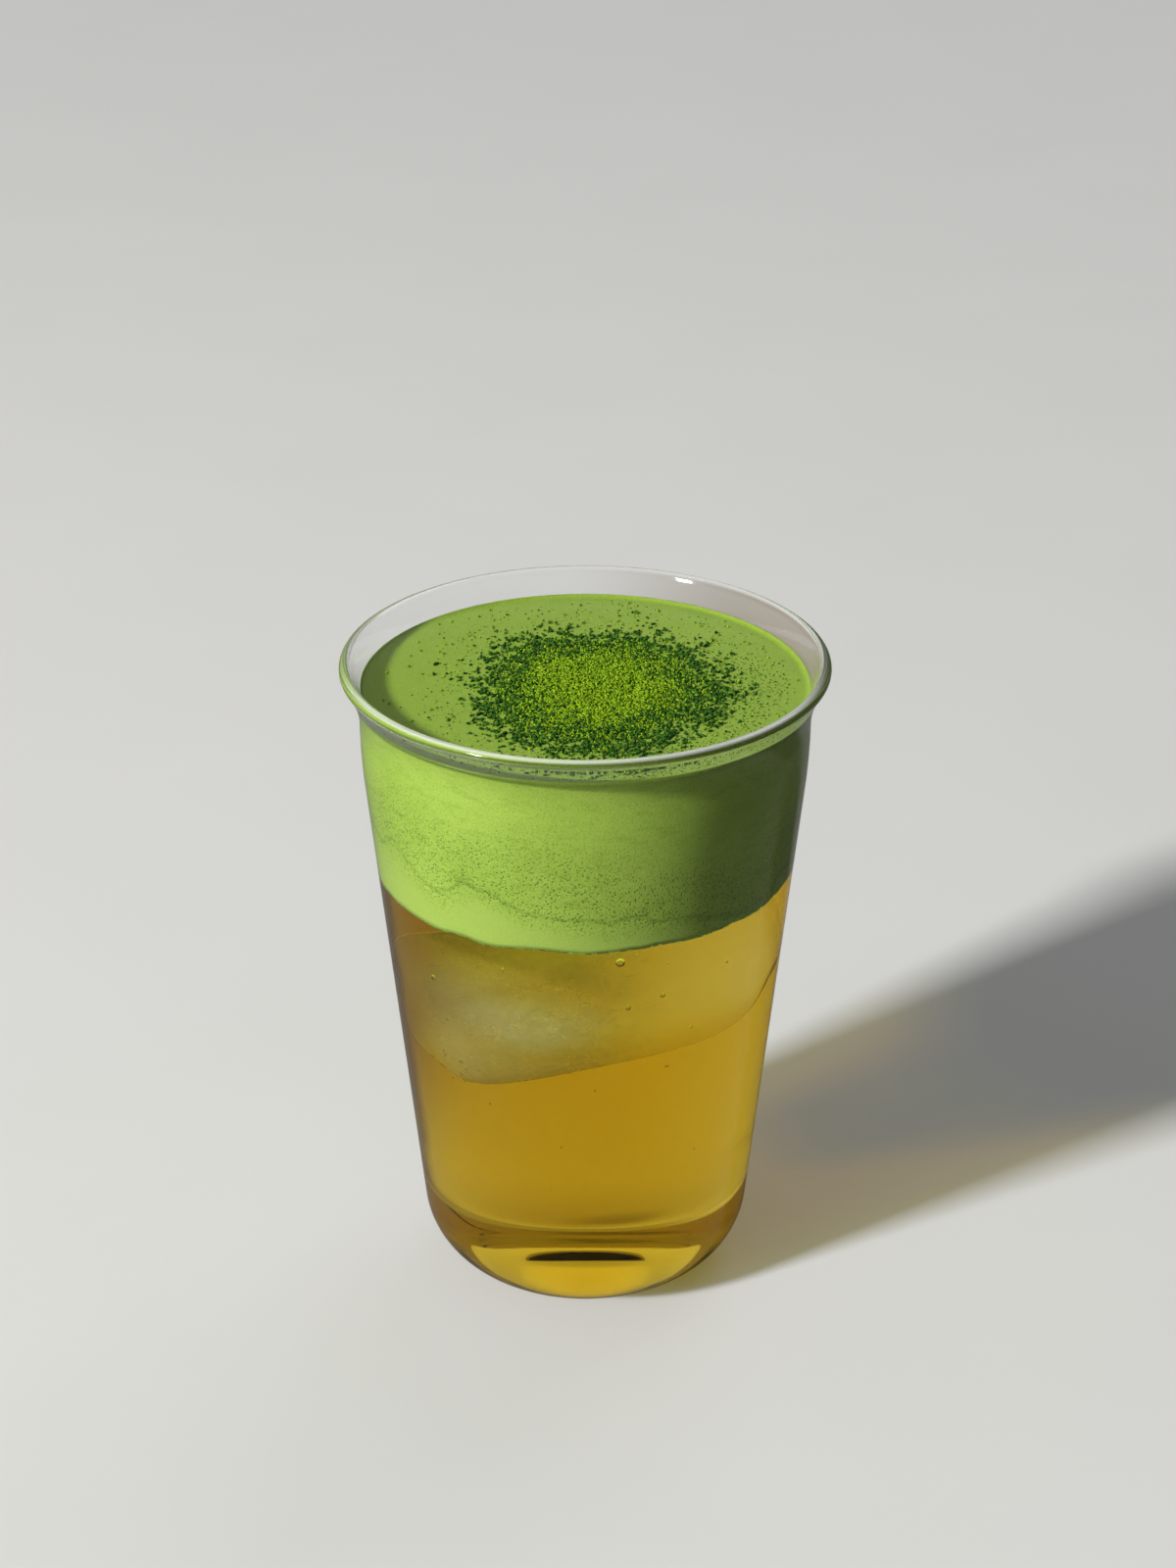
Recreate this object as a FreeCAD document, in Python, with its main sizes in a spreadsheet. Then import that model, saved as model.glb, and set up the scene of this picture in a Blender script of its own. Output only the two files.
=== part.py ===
import FreeCAD
import Part
import Sketcher
import math
import os

# An iced matcha in its glass.  A thin blown tumbler with a flared, fire-polished lip
# holds clear golden tea, a thick layer of matcha foam floats on the tea, and matcha
# powder is dusted on the middle of the foam.
#
# Millimetres, +Z up, origin at the middle of the foot on the table.
# +X is the drinker's right, -Y faces the drinker.
#
# Sub-parts, each one solid:
#   tumbler         the glass, one turned profile with a wall of even thickness
#   tea             golden tea from the floor of the glass to its uneven upper level
#   matcha_foam     green foam from the tea up to a flat top that creeps up the wall
#   matcha_powder   the low, ragged mound of powder on the foam


# ---------------------------------------------------------------- driving sizes

SIZES = (
    # the glass
    ("total_height", 126.0, "table to the top of the lip"),
    ("mouth_radius", 45.0, "outside of the lip"),
    ("lip_flare", 3.5, "how far the lip stands out past the neck"),
    ("lip_bead_radius", 1.1, "roundness of the fire-polished lip"),
    ("neck_drop", 12.0, "top of the lip down to the upright neck"),
    ("ease_radius", 111.0, "wide bend from the flank to the upright neck, outside"),
    ("flank_taper", 6.13, "lean of the flank in degrees"),
    ("heel_radius", 15.0, "outside rounding between the flank and the foot"),
    ("heel_inner_radius", 13.4, "inside rounding between the flank and the floor"),
    ("wall", 1.4, "thickness of the flank"),
    ("floor_height", 2.4, "table to the inside floor"),
    ("stand_width", 7.4, "width of the flat ring that the glass stands on"),
    ("punt_depth", 0.8, "hollow under the middle of the foot"),
    # the drink
    ("foam_below_lip", 5.3, "top of the lip down to the foam"),
    ("foam_depth", 35.4, "foam, from its top to the mean level of the tea"),
    ("meniscus_rise", 0.5, "how far the foam creeps up the glass"),
    ("meniscus_radius", 1.6, "hollow curve of that creep"),
    ("level_tilt", 0.95, "rise of the tea's level from the left wall to the right, in degrees"),
    ("level_ripple", 0.32, "height of the lumps along the foam's underside"),
    ("level_wave", 21.0, "distance from one lump to the next"),
    # the powder
    ("powder_half_width", 24.0, "mound, middle to its left or right edge"),
    ("powder_half_depth", 29.0, "mound, middle to its front or back edge"),
    ("powder_height", 0.55, "mound at its thickest"),
    ("powder_edge", 0.15, "thickness where the mound ends"),
    ("powder_ragged", 0.07, "unevenness of its outline, as a share of its radius"),
    ("powder_lump", 0.08, "height of the small lumps on the mound"),
    ("powder_shift", 2.4, "middle of the mound to the right of the glass's axis"),
    ("powder_setback", 3.0, "middle of the mound in front of the glass's axis"),
    ("powder_clearance", 1.5, "bare ring between the mound and the foam's creep up the glass"),
)

POWDER_OUTLINE_POINTS = 48     # points that the mound's ragged outline runs through
LEVEL_GRID = 26                # points each way of the tea's upper surface
POWDER_GRID = 30               # points each way of the mound's upper surface
SURFACE_OVERHANG = 3.0         # how far a cutting surface reaches past what it cuts


def make_sheet(doc):
    """The spreadsheet of driving sizes: name, plain number, meaning."""
    sheet = doc.addObject("Spreadsheet::Sheet", "Sizes")
    for row, (alias, value, meaning) in enumerate(SIZES, start=1):
        sheet.set(f"A{row}", alias)
        sheet.set(f"B{row}", str(value))
        sheet.set(f"C{row}", meaning)
        sheet.setAlias(f"B{row}", alias)
    doc.recompute()
    return sheet


class Profile:
    """The half section of the glass, worked out from the sheet: radius and height pairs."""

    def __init__(self, sheet):
        size = {alias: float(sheet.get(alias)) for alias, _, _ in SIZES}
        self.size = size
        lean = math.radians(size["flank_taper"])
        self.out = (math.cos(lean), -math.sin(lean))       # away from the flank, outwards
        self.up = (math.sin(lean), math.cos(lean))         # along the flank, upwards

        self.neck_z = size["total_height"] - size["neck_drop"]
        self.neck_r = size["mouth_radius"] - size["lip_flare"]
        self.neck_inner_r = self.neck_r - size["wall"]
        self.ease_centre = (self.neck_r - size["ease_radius"], self.neck_z)
        self.lip_centre = (size["mouth_radius"] - size["lip_bead_radius"],
                           size["total_height"] - size["lip_bead_radius"])
        self.flare_outer = self.flare(self.neck_r, 1)
        self.flare_inner = self.flare(self.neck_inner_r, -1)

        self.flank_top = self.step(self.ease_centre, self.out, size["ease_radius"])
        self.flank_inner_top = self.step(self.ease_centre, self.out,
                                         size["ease_radius"] - size["wall"])
        self.heel = self.corner(self.flank_top, 0.0, size["heel_radius"])
        self.heel_inner = self.corner(self.flank_inner_top, size["floor_height"],
                                      size["heel_inner_radius"])
        self.punt_r = self.heel[0] - size["stand_width"]
        self.foam_z = size["total_height"] - size["foam_below_lip"]
        self.tea_z = self.foam_z - size["foam_depth"]
        self.contact = self.on_flare(self.foam_z + size["meniscus_rise"])
        drop = size["meniscus_radius"] - size["meniscus_rise"]
        self.foam_flat_r = self.contact[0] - math.sqrt(size["meniscus_radius"] ** 2 - drop ** 2)

    @staticmethod
    def step(start, direction, length):
        return (start[0] + direction[0] * length, start[1] + direction[1] * length)

    def flare(self, neck_r, side):
        """Centre radius and radius of the arc that leaves the neck upright and meets the lip."""
        bead = side * self.size["lip_bead_radius"]
        run = self.lip_centre[0] - neck_r
        rise = self.lip_centre[1] - self.neck_z
        radius = (run ** 2 + rise ** 2 - bead ** 2) / (2 * (run + bead))
        return neck_r + radius, radius

    def corner(self, flank_point, floor_z, radius):
        """Centre of the arc that rolls a flank into a level floor."""
        centre_z = floor_z + radius
        on_flank = self.step((0.0, centre_z), self.out, radius)
        along = (on_flank[1] - flank_point[1]) / self.up[1]
        return flank_point[0] + self.up[0] * along - self.out[0] * radius, centre_z

    def lip_touch(self, flare):
        """Where a flare arc meets the bead of the lip."""
        centre_r, radius = flare
        away = (self.lip_centre[0] - centre_r, self.lip_centre[1] - self.neck_z)
        reach = math.hypot(*away)
        return self.step((centre_r, self.neck_z), away, radius / reach)

    def on_flare(self, z):
        """The point of the inside flare at a height above the neck."""
        centre_r, radius = self.flare_inner
        return centre_r - math.sqrt(radius ** 2 - (z - self.neck_z) ** 2), z


# ---------------------------------------------------------------- sketch helpers

START, END, CENTRE = 1, 2, 3
X_AXIS, Y_AXIS = -1, -2


class Outline:
    """A closed half section drawn in a sketch on its body's XZ plane."""

    def __init__(self, body, name):
        self.sketch = body.newObject("Sketcher::SketchObject", name)
        plane = next(o for o in body.Origin.OriginFeatures if o.Role == "XZ_Plane")
        self.sketch.AttachmentSupport = [(plane, "")]
        self.sketch.MapMode = "FlatFace"

    def line(self, start, end):
        return self.sketch.addGeometry(Part.LineSegment(self.point(start), self.point(end)))

    def arc(self, centre, radius, start, end):
        """The arc from start to end about centre, counter-clockwise."""
        first, last = (math.atan2(p[1] - centre[1], p[0] - centre[0]) for p in (start, end))
        if last < first:
            last += 2 * math.pi
        circle = Part.Circle(self.point(centre), FreeCAD.Vector(0, 0, 1), radius)
        return self.sketch.addGeometry(Part.ArcOfCircle(circle, first, last))

    def guide_circle(self, centre, radius):
        """A construction circle that other lines are held against."""
        up = FreeCAD.Vector(0, 0, 1)
        circle = self.sketch.addGeometry(Part.Circle(self.point(centre), up, radius))
        self.sketch.toggleConstruction(circle)
        return circle

    @staticmethod
    def point(pair):
        return FreeCAD.Vector(pair[0], pair[1], 0)

    def hold(self, *constraint):
        return self.sketch.addConstraint(Sketcher.Constraint(*constraint))

    def size(self, name, expression, *constraint):
        """A dimension bound to the sheet; its last argument is its value now."""
        index = self.hold(*constraint)
        self.sketch.renameConstraint(index, name)
        self.sketch.setExpression(f"Constraints.{name}", expression)

    def revolve(self, body, name):
        turned = body.newObject("PartDesign::Revolution", name)
        turned.Profile = self.sketch
        turned.ReferenceAxis = (self.sketch, ["V_Axis"])
        turned.Angle = 360.0
        self.sketch.Visibility = False


def draw_inner_wall(outline, profile, top):
    """Floor, inner heel, flank, ease and flare, from the axis up to the point top.

    The glass and the drink share it, so the drink always fills the glass face to face.
    """
    size = profile.size
    floor_z = size["floor_height"]
    heel = profile.heel_inner
    heel_top = profile.step(heel, profile.out, size["heel_inner_radius"])
    flare_centre = (profile.flare_inner[0], profile.neck_z)
    neck = (profile.neck_inner_r, profile.neck_z)

    floor = outline.line((0.0, floor_z), (heel[0], floor_z))
    corner = outline.arc(heel, size["heel_inner_radius"], (heel[0], floor_z), heel_top)
    flank = outline.line(heel_top, profile.flank_inner_top)
    ease = outline.arc(profile.ease_centre, size["ease_radius"] - size["wall"],
                       profile.flank_inner_top, neck)
    flare = outline.arc(flare_centre, profile.flare_inner[1], top, neck)

    outline.hold("PointOnObject", floor, START, Y_AXIS)
    outline.hold("Horizontal", floor)
    outline.hold("Tangent", floor, END, corner, START)
    outline.hold("Tangent", corner, END, flank, START)
    outline.hold("Tangent", flank, END, ease, START)
    outline.hold("Tangent", ease, END, flare, END)
    outline.hold("Horizontal", ease, CENTRE, ease, END)
    outline.size("floor_height", "Sizes.floor_height",
                 "DistanceY", floor, START, floor_z)
    outline.size("heel_inner_radius", "Sizes.heel_inner_radius",
                 "Radius", corner, size["heel_inner_radius"])
    outline.size("taper_inside", "(90 - Sizes.flank_taper) * 1deg",
                 "Angle", flank, math.radians(90.0 - size["flank_taper"]))
    outline.size("ease_inner_radius", "Sizes.ease_radius - Sizes.wall",
                 "Radius", ease, size["ease_radius"] - size["wall"])
    outline.size("neck_height", "Sizes.total_height - Sizes.neck_drop",
                 "DistanceY", ease, END, profile.neck_z)
    outline.size("neck_inner_radius", "Sizes.mouth_radius - Sizes.lip_flare - Sizes.wall",
                 "DistanceX", ease, END, profile.neck_inner_r)
    return floor, flare


def hold_lip(outline, profile, bead):
    """The bead that ends the lip: its roundness, its outermost and its highest point."""
    outline.size("lip_bead_radius", "Sizes.lip_bead_radius",
                 "Radius", bead, profile.size["lip_bead_radius"])
    outline.size("lip_middle_radius", "Sizes.mouth_radius - Sizes.lip_bead_radius",
                 "DistanceX", bead, CENTRE, profile.lip_centre[0])
    outline.size("lip_middle_height", "Sizes.total_height - Sizes.lip_bead_radius",
                 "DistanceY", bead, CENTRE, profile.lip_centre[1])


# ---------------------------------------------------------------- the glass

def make_tumbler(doc, profile):
    """The tumbler: punt, foot, heel, tapered flank, neck, flare and rounded lip, turned once."""
    size = profile.size
    body = doc.addObject("PartDesign::Body", "Tumbler")
    body.Label = "tumbler"
    outline = Outline(body, "TumblerSection")

    punt_radius = (profile.punt_r ** 2 + size["punt_depth"] ** 2) / (2 * size["punt_depth"])
    punt_centre = (0.0, size["punt_depth"] - punt_radius)
    heel_top = profile.step(profile.heel, profile.out, size["heel_radius"])
    neck = (profile.neck_r, profile.neck_z)
    lip_outside = profile.lip_touch(profile.flare_outer)
    lip_inside = profile.lip_touch(profile.flare_inner)

    punt = outline.arc(punt_centre, punt_radius, (profile.punt_r, 0.0), (0.0, size["punt_depth"]))
    stand = outline.line((profile.punt_r, 0.0), (profile.heel[0], 0.0))
    heel = outline.arc(profile.heel, size["heel_radius"], (profile.heel[0], 0.0), heel_top)
    flank = outline.line(heel_top, profile.flank_top)
    ease = outline.arc(profile.ease_centre, size["ease_radius"], profile.flank_top, neck)
    flare = outline.arc((profile.flare_outer[0], profile.neck_z), profile.flare_outer[1],
                        lip_outside, neck)
    bead = outline.arc(profile.lip_centre, size["lip_bead_radius"], lip_outside, lip_inside)
    floor, flare_inside = draw_inner_wall(outline, profile, lip_inside)
    axis = outline.line((0.0, size["floor_height"]), (0.0, size["punt_depth"]))

    outline.hold("PointOnObject", punt, END, Y_AXIS)
    outline.hold("PointOnObject", punt, CENTRE, Y_AXIS)
    outline.hold("Coincident", punt, START, stand, START)
    outline.hold("PointOnObject", stand, START, X_AXIS)
    outline.hold("Horizontal", stand)
    outline.hold("Tangent", stand, END, heel, START)
    outline.hold("Tangent", heel, END, flank, START)
    outline.hold("Tangent", flank, END, ease, START)
    outline.hold("Tangent", ease, END, flare, END)
    outline.hold("Horizontal", ease, CENTRE, ease, END)
    outline.hold("Tangent", flare, START, bead, START)
    outline.hold("Tangent", bead, END, flare_inside, START)
    outline.hold("Coincident", axis, START, floor, START)
    outline.hold("Coincident", axis, END, punt, END)
    outline.size("punt_depth", "Sizes.punt_depth",
                 "DistanceY", punt, END, size["punt_depth"])
    outline.size("stand_width", "Sizes.stand_width",
                 "DistanceX", stand, START, stand, END, size["stand_width"])
    outline.size("heel_radius", "Sizes.heel_radius",
                 "Radius", heel, size["heel_radius"])
    outline.size("taper_outside", "(90 - Sizes.flank_taper) * 1deg",
                 "Angle", flank, math.radians(90.0 - size["flank_taper"]))
    outline.size("ease_radius", "Sizes.ease_radius",
                 "Radius", ease, size["ease_radius"])
    outline.size("neck_outer_height", "Sizes.total_height - Sizes.neck_drop",
                 "DistanceY", ease, END, profile.neck_z)
    outline.size("neck_radius", "Sizes.mouth_radius - Sizes.lip_flare",
                 "DistanceX", ease, END, profile.neck_r)
    hold_lip(outline, profile, bead)
    outline.revolve(body, "TumblerTurned")
    return body


# ---------------------------------------------------------------- the drink

def make_drink_space(doc, profile):
    """The room that the drink fills, up to the foam's flat top and its creep up the wall."""
    size = profile.size
    body = doc.addObject("PartDesign::Body", "DrinkSpace")
    body.Label = "drink_space"
    outline = Outline(body, "DrinkSection")

    creep_centre = (profile.foam_flat_r, profile.foam_z + size["meniscus_radius"])
    surface_end = (profile.foam_flat_r, profile.foam_z)

    floor, flare = draw_inner_wall(outline, profile, profile.contact)
    creep = outline.arc(creep_centre, size["meniscus_radius"], surface_end, profile.contact)
    surface = outline.line(surface_end, (0.0, profile.foam_z))
    axis = outline.line((0.0, profile.foam_z), (0.0, size["floor_height"]))
    lip = outline.guide_circle(profile.lip_centre, size["lip_bead_radius"])

    hold_lip(outline, profile, lip)
    outline.hold("Tangent", flare, lip)
    outline.hold("Coincident", creep, END, flare, START)
    outline.hold("Tangent", surface, START, creep, START)
    outline.hold("Horizontal", surface)
    outline.hold("Coincident", surface, END, axis, START)
    outline.hold("Coincident", axis, END, floor, START)
    outline.hold("PointOnObject", surface, END, Y_AXIS)
    outline.size("foam_height", "Sizes.total_height - Sizes.foam_below_lip",
                 "DistanceY", surface, END, profile.foam_z)
    outline.size("contact_height",
                 "Sizes.total_height - Sizes.foam_below_lip + Sizes.meniscus_rise",
                 "DistanceY", creep, END, profile.contact[1])
    outline.size("meniscus_radius", "Sizes.meniscus_radius",
                 "Radius", creep, size["meniscus_radius"])
    outline.revolve(body, "DrinkTurned")
    return body


def block_under(height, half_width, half_depth, grid, bottom):
    """A block whose top is the smooth surface z = height(x, y) and whose underside is level."""
    rows = []
    for i in range(grid):
        x = half_width * (2 * i / (grid - 1) - 1)
        ys = (half_depth * (2 * j / (grid - 1) - 1) for j in range(grid))
        rows.append([FreeCAD.Vector(x, y, height(x, y)) for y in ys])
    top = Part.BSplineSurface()
    top.interpolate(rows)
    depth = max(point.z for row in rows for point in row) - bottom + SURFACE_OVERHANG
    column = top.toShape().extrude(FreeCAD.Vector(0, 0, -depth))
    room = Part.makeBox(2 * half_width, 2 * half_depth, depth,
                        FreeCAD.Vector(-half_width, -half_depth, bottom))
    return column.common(room)


def tea_level(profile):
    """Height of the tea at a place: nearly level, with lumps where the foam hangs lower."""
    size = profile.size
    slope = math.tan(math.radians(size["level_tilt"]))
    wave = 2 * math.pi / size["level_wave"]
    ripple = size["level_ripple"]

    def height(x, y):
        lumps = math.sin(wave * x + 0.6) * math.cos(0.8 * wave * y - 0.4)
        small = 0.45 * math.sin(1.9 * wave * (0.6 * x - 0.8 * y) + 1.7)
        return profile.tea_z + slope * x + ripple * (lumps + small)
    return height


def make_tea_block(doc, profile):
    """All that lies below the tea's upper surface, to part the tea from the foam."""
    half = profile.neck_r + SURFACE_OVERHANG
    block = doc.addObject("Part::Feature", "TeaBlock")
    block.Label = "tea_block"
    block.Shape = block_under(tea_level(profile), half, half, LEVEL_GRID, -SURFACE_OVERHANG)
    block.Placement = FreeCAD.Placement()
    return block


def make_drink(doc, space, tea_block):
    """Tea and foam: the drink's room parted along the tea's uneven surface."""
    tea = doc.addObject("Part::Common", "Tea")
    tea.Label = "tea"
    tea.Base = space
    tea.Tool = tea_block

    foam = doc.addObject("Part::Cut", "MatchaFoam")
    foam.Label = "matcha_foam"
    foam.Base = space
    foam.Tool = tea_block
    return tea, foam


# ---------------------------------------------------------------- the powder

def powder_outline(size):
    """The mound's ragged closed edge, seen from above, about its own middle."""
    points = []
    for i in range(POWDER_OUTLINE_POINTS):
        turn = 2 * math.pi * i / POWDER_OUTLINE_POINTS
        ragged = 0.5 * math.sin(3 * turn + 0.9) + 0.3 * math.sin(5 * turn + 2.1)
        ragged += 0.35 * math.sin(11 * turn + 0.4)
        reach = 1 + size["powder_ragged"] * ragged
        points.append(FreeCAD.Vector(size["powder_half_width"] * reach * math.cos(turn),
                                     size["powder_half_depth"] * reach * math.sin(turn), 0))
    edge = Part.BSplineCurve()
    edge.interpolate(points, PeriodicFlag=True)
    return Part.Wire([edge.toShape()])


def make_powder(doc, profile):
    """The powder: thin at its ragged edge, thickest in the middle, lumpy on top.

    It stops short of the glass wherever its outline would reach the foam's creep.
    """
    size = profile.size
    crown = size["powder_height"] - size["powder_edge"] - size["powder_lump"]

    def height(x, y):
        across = (x / size["powder_half_width"]) ** 2 + (y / size["powder_half_depth"]) ** 2
        mound = crown * math.exp(-1.6 * across)
        lumps = math.sin(0.62 * x + 0.3) * math.sin(0.55 * y + 1.1)
        return size["powder_edge"] + mound + size["powder_lump"] * max(lumps, -1.0)

    reach = 1 + 2 * size["powder_ragged"]
    top = block_under(height, size["powder_half_width"] * reach, size["powder_half_depth"] * reach,
                      POWDER_GRID, 0.0)
    tall = 2 * size["powder_height"]
    prism = Part.Face(powder_outline(size)).extrude(FreeCAD.Vector(0, 0, tall))
    clear = Part.makeCylinder(profile.foam_flat_r - size["powder_clearance"], tall,
                              FreeCAD.Vector(-size["powder_shift"], size["powder_setback"], 0))
    powder = doc.addObject("Part::Feature", "MatchaPowder")
    powder.Label = "matcha_powder"
    powder.Shape = prism.common(top).common(clear)
    powder.Placement = FreeCAD.Placement(
        FreeCAD.Vector(size["powder_shift"], -size["powder_setback"], profile.foam_z),
        FreeCAD.Rotation())
    return powder


# ---------------------------------------------------------------- build and write

def check(doc, parts):
    for item in doc.Objects:
        if "Invalid" in item.State or "Error" in item.State:
            raise RuntimeError(f"{item.Name} did not recompute: {item.State}")
    for part in parts:
        shape = part.Shape
        if shape.isNull() or not shape.isValid() or len(shape.Solids) != 1:
            raise RuntimeError(f"{part.Label} is not one valid solid")


def main():
    doc = FreeCAD.newDocument("iced_matcha")
    profile = Profile(make_sheet(doc))
    tumbler = make_tumbler(doc, profile)
    space = make_drink_space(doc, profile)
    tea_block = make_tea_block(doc, profile)
    tea, foam = make_drink(doc, space, tea_block)
    powder = make_powder(doc, profile)
    doc.recompute()

    parts = (tumbler, tea, foam, powder)
    check(doc, parts)
    os.makedirs("parts", exist_ok=True)
    for part in parts:
        part.Shape.exportStep(f"parts/{part.Label}.step")
        print(part.Label, f"{part.Shape.Volume:.0f} mm3")


main()
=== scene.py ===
import itertools
import math

import bpy
import numpy as np
from mathutils import Matrix, Vector


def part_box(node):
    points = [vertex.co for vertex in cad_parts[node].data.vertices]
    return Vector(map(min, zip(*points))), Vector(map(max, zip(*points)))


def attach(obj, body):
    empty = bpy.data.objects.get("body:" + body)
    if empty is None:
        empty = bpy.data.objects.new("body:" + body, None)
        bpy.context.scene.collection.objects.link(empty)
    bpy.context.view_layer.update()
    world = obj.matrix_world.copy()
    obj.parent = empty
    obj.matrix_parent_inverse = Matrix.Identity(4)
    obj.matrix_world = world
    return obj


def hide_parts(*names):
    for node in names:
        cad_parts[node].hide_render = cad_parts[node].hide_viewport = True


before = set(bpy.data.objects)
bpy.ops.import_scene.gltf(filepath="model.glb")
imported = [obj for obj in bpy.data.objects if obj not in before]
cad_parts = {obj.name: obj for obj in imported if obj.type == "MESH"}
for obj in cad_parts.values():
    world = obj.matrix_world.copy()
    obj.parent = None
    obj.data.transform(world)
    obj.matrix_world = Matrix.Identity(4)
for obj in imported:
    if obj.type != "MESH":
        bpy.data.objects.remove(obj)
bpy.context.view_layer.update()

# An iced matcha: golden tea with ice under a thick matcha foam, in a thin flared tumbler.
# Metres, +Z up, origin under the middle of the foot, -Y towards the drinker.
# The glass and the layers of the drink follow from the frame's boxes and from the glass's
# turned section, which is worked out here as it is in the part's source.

MM = 0.001
FULL_TURN = 2 * math.pi

# ---------------------------------------------------------------- sizes from the frame

lip_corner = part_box("tumbler")[1]
tea_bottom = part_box("tea")[0]
foam_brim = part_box("matcha_foam")[1]
powder_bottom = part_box("matcha_powder")[0]

MOUTH_R = lip_corner.x              # outside of the lip
LIP_Z = lip_corner.z                # top of the lip
FLOOR_Z = tea_bottom.z              # inside floor of the glass
FOAM_Z = powder_bottom.z            # flat top of the foam
CREEP_Z = foam_brim.z               # where the foam ends on the glass

# ---------------------------------------------------------------- sizes of the section

LIP_FLARE = 3.5 * MM                # lip past the neck
LIP_BEAD = 1.1 * MM                 # roundness of the lip
NECK_Z = LIP_Z - 12.0 * MM
NECK_R = MOUTH_R - LIP_FLARE
EASE_R = 111.0 * MM                 # bend from the flank to the upright neck
TAPER = math.radians(6.13)
HEEL_R = 15.0 * MM
HEEL_INNER_R = 13.4 * MM
WALL = 1.4 * MM
STAND = 7.4 * MM                    # width of the ring the glass stands on
PUNT = 0.8 * MM                     # hollow under the foot
CREEP_R = 1.6 * MM                  # hollow curve of the foam against the glass

GLASS_INDEX = 1.47
TEA_INDEX = 1.333

SEAT = 0.15 * MM                    # how far the drink reaches into the wall of the glass
LAP = 0.2 * MM                      # how far the tea reaches up into the foam
AROUND = 320                        # facets round the glass and the drink
HEEL_STEPS, FLANK_STEPS, EASE_STEPS, FLARE_STEPS = 28, 24, 8, 16
PUNT_STEPS, STAND_STEPS, BEAD_STEPS, FLOOR_STEPS = 10, 4, 18, 10
LEVEL_STEPS = 30                    # rings across the level between tea and foam
SAME_PLACE = 1e-7                   # points nearer than this are one
LIGHT_TURNS = 28                    # surfaces that light may pass in the glass, tea and ice


def arc(centre, radius, start, end, steps):
    """Points of an arc in the section, from one angle to another."""
    angles = np.linspace(start, end, steps + 1)
    return np.column_stack([centre[0] + radius * np.cos(angles),
                            centre[1] + radius * np.sin(angles)])


def along(*stretches):
    """One line of points through several stretches, each shared point once."""
    line = [np.atleast_2d(stretches[0])]
    for stretch in stretches[1:]:
        points = np.atleast_2d(stretch)
        shared = np.hypot(*(points[0] - line[-1][-1])) < SAME_PLACE
        line.append(points[1:] if shared else points)
    return np.vstack(line)


def straight(start, end, steps):
    """Evenly spaced points of a straight stretch."""
    share = np.linspace(0, 1, steps + 1)[:, None]
    return np.array(start) * (1 - share) + np.array(end) * share


class Section:
    """The half section of the tumbler, worked out as radius and height pairs."""

    out = np.array([math.cos(TAPER), -math.sin(TAPER)])
    up = np.array([math.sin(TAPER), math.cos(TAPER)])
    lip = np.array([MOUTH_R - LIP_BEAD, LIP_Z - LIP_BEAD])
    ease_centre = np.array([NECK_R - EASE_R, NECK_Z])

    def flare(self, neck_r, side):
        """Centre and radius of the arc from the upright neck to the lip's bead."""
        bead = side * LIP_BEAD
        run, rise = self.lip - (neck_r, NECK_Z)
        radius = (run ** 2 + rise ** 2 - bead ** 2) / (2 * (run + bead))
        return np.array([neck_r + radius, NECK_Z]), radius

    def wall(self, neck_r, ease_r, heel_r, floor_z, side):
        """One face of the wall, from the heel's foot up to the bead of the lip."""
        flank_top = self.ease_centre + self.out * ease_r
        centre_z = floor_z + heel_r
        reach = (centre_z + self.out[1] * heel_r - flank_top[1]) / self.up[1]
        heel = np.array([flank_top[0] + self.up[0] * reach - self.out[0] * heel_r, centre_z])
        centre, radius = self.flare(neck_r, side)
        touch = math.atan2(*(self.lip - centre)[::-1])
        return along(arc(heel, heel_r, -math.pi / 2, -TAPER, HEEL_STEPS),
                     straight(heel + self.out * heel_r, flank_top, FLANK_STEPS),
                     arc(self.ease_centre, ease_r, -TAPER, 0.0, EASE_STEPS),
                     arc(centre, radius, math.pi, touch, FLARE_STEPS))

    def outer(self):
        return self.wall(NECK_R, EASE_R, HEEL_R, 0.0, 1)

    def inner(self):
        return self.wall(NECK_R - WALL, EASE_R - WALL, HEEL_INNER_R, FLOOR_Z, -1)

    def glass(self):
        """The closed outline of the glass, from the punt's middle round to the floor's middle."""
        outer, inner = self.outer(), self.inner()
        punt_r = outer[0][0] - STAND
        bowl = (punt_r ** 2 + PUNT ** 2) / (2 * PUNT)
        half = math.asin(punt_r / bowl)
        punt = arc((0.0, PUNT - bowl), bowl, math.pi / 2, math.pi / 2 - half, PUNT_STEPS)
        start, end = (math.atan2(*(p - self.lip)[::-1]) for p in (outer[-1], inner[-1]))
        end += FULL_TURN if end < start else 0
        bead = arc(self.lip, LIP_BEAD, start, end, BEAD_STEPS)
        stand = straight(punt[-1], outer[0], STAND_STEPS)
        floor = straight(inner[0], (0.0, FLOOR_Z), FLOOR_STEPS)
        return along(punt, stand, outer, bead, inner[::-1], floor)

    def inner_radius(self, z, seat=SEAT):
        """Inside radius at a height above the heel, let into the wall by seat."""
        line = self.inner()
        return np.interp(z, line[:, 1], line[:, 0]) + seat


section = Section()
CREEP_END_R = float(section.inner_radius(CREEP_Z, seat=0.0))
CREEP_RISE = CREEP_Z - FOAM_Z
FLAT_R = CREEP_END_R - math.sqrt(CREEP_R ** 2 - (CREEP_R - CREEP_RISE) ** 2)

# ---------------------------------------------------------------- unevenness

TEA_Z = FOAM_Z - 35.4 * MM          # mean level of the tea
LEVEL_SLOPE = math.tan(math.radians(0.95))
LEVEL_RIPPLE = 0.32 * MM
LEVEL_WAVE = FULL_TURN / (21.0 * MM)
LATTICE = 97                        # random values each way before the lumps repeat
LATTICE_SHIFT = (31.7, 47.3)        # keeps the lattice's lines off the middle of the drink


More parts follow.
